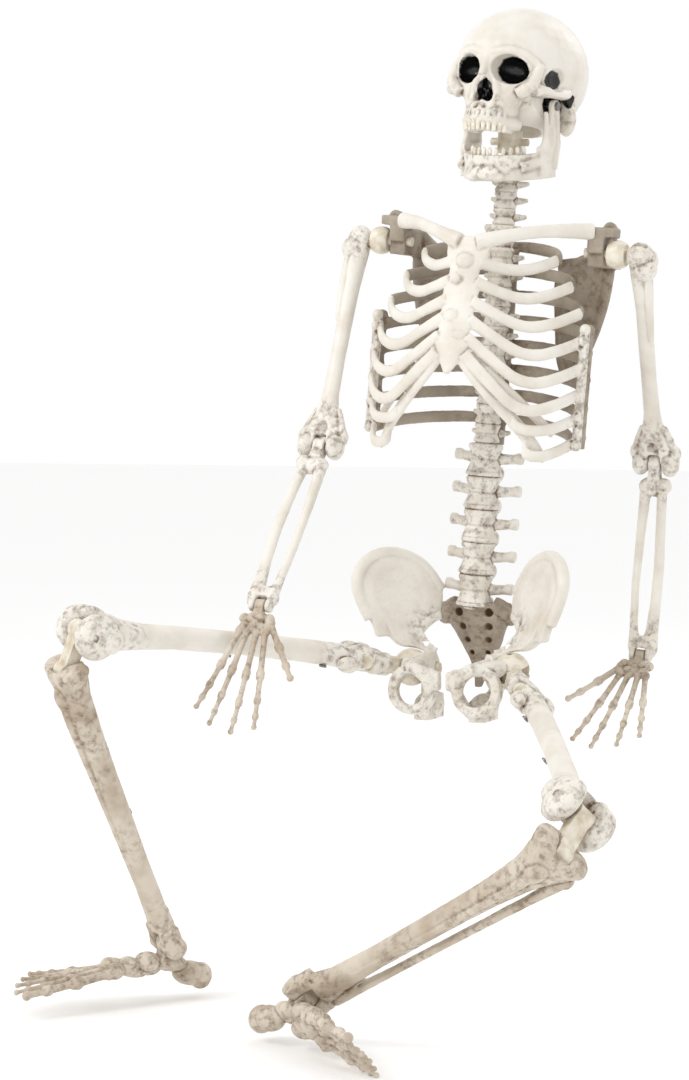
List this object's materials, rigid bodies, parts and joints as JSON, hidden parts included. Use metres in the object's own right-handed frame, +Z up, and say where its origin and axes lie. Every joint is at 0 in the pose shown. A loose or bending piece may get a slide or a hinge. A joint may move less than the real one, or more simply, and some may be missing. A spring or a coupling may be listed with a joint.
{
  "type": "posable skeleton figure",
  "caption": "Life-like posable skeleton figure in a seated pose, with hinged jaw, neck, shoulders, elbows, wrists, hips, knees and ankles.",
  "frame": {"origin": "midway between the two ischia, on the plane that they rest on", "axes": "+Z up, the pelvis faces -Y, +X is the figure's left"},
  "size_m": [0.6579, 0.5826, 1.037],
  "materials": {
    "pale_bone": "off-white moulded plastic with a thin brown wash left in its hollows",
    "tan_bone": "off-white moulded plastic under a heavier tan-brown wash",
    "dark_bone": "moulded plastic shaded grey-brown",
    "joint_plastic": "cream moulded plastic, plain",
    "steel_pins": "plated steel pins and cross-head screws",
    "black_paint": "glossy black paint in the eye and nose sockets"
  },
  "bodies": {
    "trunk": {"sacrum": "dark_bone", "hip_bone_right": "pale_bone", "hip_bone_left": "pale_bone", "pelvis_screws": "steel_pins", "lumbar_spine": "pale_bone", "thoracic_spine": "pale_bone", "ribcage_front": "pale_bone", "ribcage_back": "dark_bone", "scapula_right": "dark_bone", "scapula_left": "dark_bone", "ribcage_screws": "steel_pins", "neck_column": "pale_bone"},
    "neck_hub": {"neck_hub": "joint_plastic"},
    "head": {"skull_face": "pale_bone", "skull_back": "pale_bone", "jaw_screws": "steel_pins"},
    "jaw": {"lower_jaw": "pale_bone"},
    "shoulder_hub_right": {"shoulder_hub_right": "joint_plastic"},
    "upper_arm_right": {"humerus_right": "pale_bone", "shoulder_pin_right": "steel_pins", "elbow_pin_right": "steel_pins"},
    "forearm_right": {"forearm_right": "pale_bone", "wrist_pin_right": "steel_pins"},
    "hand_right": {"hand_right": "tan_bone"},
    "hip_hub_right": {"hip_hub_right": "joint_plastic", "hip_pin_right": "steel_pins"},
    "hip_swivel_right": {"hip_swivel_right": "joint_plastic"},
    "thigh_right": {"femur_front_right": "pale_bone", "femur_back_right": "pale_bone", "femur_screws_right": "steel_pins", "knee_upper_pin_right": "steel_pins"},
    "knee_link_right": {"knee_link_right": "joint_plastic"},
    "shin_right": {"shin_front_right": "tan_bone", "shin_back_right": "tan_bone", "shin_screws_right": "steel_pins", "knee_lower_pin_right": "steel_pins", "ankle_pin_right": "steel_pins"},
    "foot_right": {"foot_right": "tan_bone"},
    "shoulder_hub_left": {"shoulder_hub_left": "joint_plastic"},
    "upper_arm_left": {"humerus_left": "pale_bone", "shoulder_pin_left": "steel_pins", "elbow_pin_left": "steel_pins"},
    "forearm_left": {"forearm_left": "pale_bone", "wrist_pin_left": "steel_pins"},
    "hand_left": {"hand_left": "tan_bone"},
    "hip_hub_left": {"hip_hub_left": "joint_plastic", "hip_pin_left": "steel_pins"},
    "hip_swivel_left": {"hip_swivel_left": "joint_plastic"},
    "thigh_left": {"femur_front_left": "pale_bone", "femur_back_left": "pale_bone", "femur_screws_left": "steel_pins", "knee_upper_pin_left": "steel_pins"},
    "knee_link_left": {"knee_link_left": "joint_plastic"},
    "shin_left": {"shin_front_left": "tan_bone", "shin_back_left": "tan_bone", "shin_screws_left": "steel_pins", "knee_lower_pin_left": "steel_pins", "ankle_pin_left": "steel_pins"},
    "foot_left": {"foot_left": "tan_bone"}
  },
  "joints": [
    {"name": "head_turn", "type": "hinge", "parent": "trunk", "child": "neck_hub", "pos_m": [0.03614, 0.046, 0.61043], "axis": [0.0802, 0, 0.9968], "range_deg": [-60, 70]},
    {"name": "head_nod", "type": "hinge", "parent": "neck_hub", "child": "head", "pos_m": [0.03614, 0.046, 0.61043], "axis": [-0.9871, 0.1392, 0.0794], "range_deg": [-12, 16]},
    {"name": "jaw_open", "type": "hinge", "parent": "head", "child": "jaw", "pos_m": [0.03972, 0.04933, 0.64917], "axis": [0.9871, -0.1392, -0.0794], "range_deg": [-12, 12]},
    {"name": "shoulder_swing_right", "type": "hinge", "parent": "trunk", "child": "shoulder_hub_right", "pos_m": [-0.10641, 0.034, 0.50954], "axis": [-0.9968, 0, 0.0802], "range_deg": [-2, 120]},
    {"name": "shoulder_spread_right", "type": "hinge", "parent": "shoulder_hub_right", "child": "upper_arm_right", "pos_m": [-0.13034, 0.034, 0.51146], "axis": [-0.0287, 0.9336, -0.3572], "range_deg": [-4, 1]},
    {"name": "elbow_bend_right", "type": "hinge", "parent": "upper_arm_right", "child": "forearm_right", "pos_m": [-0.13995, -0.05196, 0.28759], "axis": [-0.9988, -0.0125, 0.0477], "range_deg": [-5, 95]},
    {"name": "wrist_bend_right", "type": "hinge", "parent": "forearm_right", "child": "hand_right", "pos_m": [-0.14587, -0.18561, 0.12832], "axis": [-0.9988, -0.0125, 0.0477], "range_deg": [-25, 55]},
    {"name": "hip_swing_right", "type": "hinge", "parent": "trunk", "child": "hip_hub_right", "pos_m": [-0.057, 0, 0.052], "axis": [-1, 0, 0], "range_deg": [-95, 12]},
    {"name": "hip_spread_right", "type": "hinge", "parent": "hip_hub_right", "child": "hip_swivel_right", "pos_m": [-0.057, 0, 0.052], "axis": [0, -0.1736, -0.9848], "range_deg": [-2, 24]},
    {"name": "thigh_turn_right", "type": "hinge", "parent": "hip_swivel_right", "child": "thigh_right", "pos_m": [-0.057, 0, 0.052], "axis": [-0.5592, -0.8164, 0.144], "range_deg": [-30, 35]},
    {"name": "knee_upper_right", "type": "hinge", "parent": "thigh_right", "child": "knee_link_right", "pos_m": [-0.27844, -0.32331, 0.10901], "axis": [0.8008, -0.5769, -0.1611], "range_deg": [-78, 8]},
    {"name": "knee_lower_right", "type": "hinge", "parent": "knee_link_right", "child": "shin_right", "pos_m": [-0.29161, -0.33003, 0.06757], "axis": [0.8008, -0.5769, -0.1611], "range_deg": [-38, 18]},
    {"name": "ankle_bend_right", "type": "hinge", "parent": "shin_right", "child": "foot_right", "pos_m": [-0.25074, -0.19111, -0.22674], "axis": [0.8008, -0.5769, -0.1611], "range_deg": [-20, 45]},
    {"name": "shoulder_swing_left", "type": "hinge", "parent": "trunk", "child": "shoulder_hub_left", "pos_m": [0.16072, 0.034, 0.48804], "axis": [-0.9968, 0, 0.0802], "range_deg": [-35, 5]},
    {"name": "shoulder_spread_left", "type": "hinge", "parent": "shoulder_hub_left", "child": "upper_arm_left", "pos_m": [0.18465, 0.034, 0.48612], "axis": [-0.0339, -0.9063, -0.4213], "range_deg": [-2, 85]},
    {"name": "elbow_bend_left", "type": "hinge", "parent": "upper_arm_left", "child": "forearm_left", "pos_m": [0.17138, 0.13541, 0.269], "axis": [-0.9979, 0.0074, 0.0644], "range_deg": [-25, 90]},
    {"name": "wrist_bend_left", "type": "hinge", "parent": "forearm_left", "child": "hand_left", "pos_m": [0.15793, 0.12814, 0.06156], "axis": [-0.9979, 0.0074, 0.0644], "range_deg": [-70, 15]},
    {"name": "hip_swing_left", "type": "hinge", "parent": "trunk", "child": "hip_hub_left", "pos_m": [0.057, 0, 0.052], "axis": [-1, 0, 0], "range_deg": [-64, 30]},
    {"name": "hip_spread_left", "type": "hinge", "parent": "hip_hub_left", "child": "hip_swivel_left", "pos_m": [0.057, 0, 0.052], "axis": [0, -0.2756, 0.9613], "range_deg": [-5, 24]},
    {"name": "thigh_turn_left", "type": "hinge", "parent": "hip_swivel_left", "child": "thigh_left", "pos_m": [0.057, 0, 0.052], "axis": [-0.4848, 0.8407, 0.2411], "range_deg": [-70, 16]},
    {"name": "knee_upper_left", "type": "hinge", "parent": "thigh_left", "child": "knee_link_left", "pos_m": [0.24898, -0.33293, -0.04347], "axis": [0.5141, 0.4969, -0.6991], "range_deg": [-46, 24]},
    {"name": "knee_lower_left", "type": "hinge", "parent": "knee_link_left", "child": "shin_left", "pos_m": [0.23948, -0.36434, -0.07278], "axis": [0.5141, 0.4969, -0.6991], "range_deg": [-60, 12]},
    {"name": "ankle_bend_left", "type": "hinge", "parent": "shin_left", "child": "foot_left", "pos_m": [-0.03806, -0.31172, -0.23946], "axis": [0.5141, 0.4969, -0.6991], "range_deg": [-10, 60]}
  ]
}
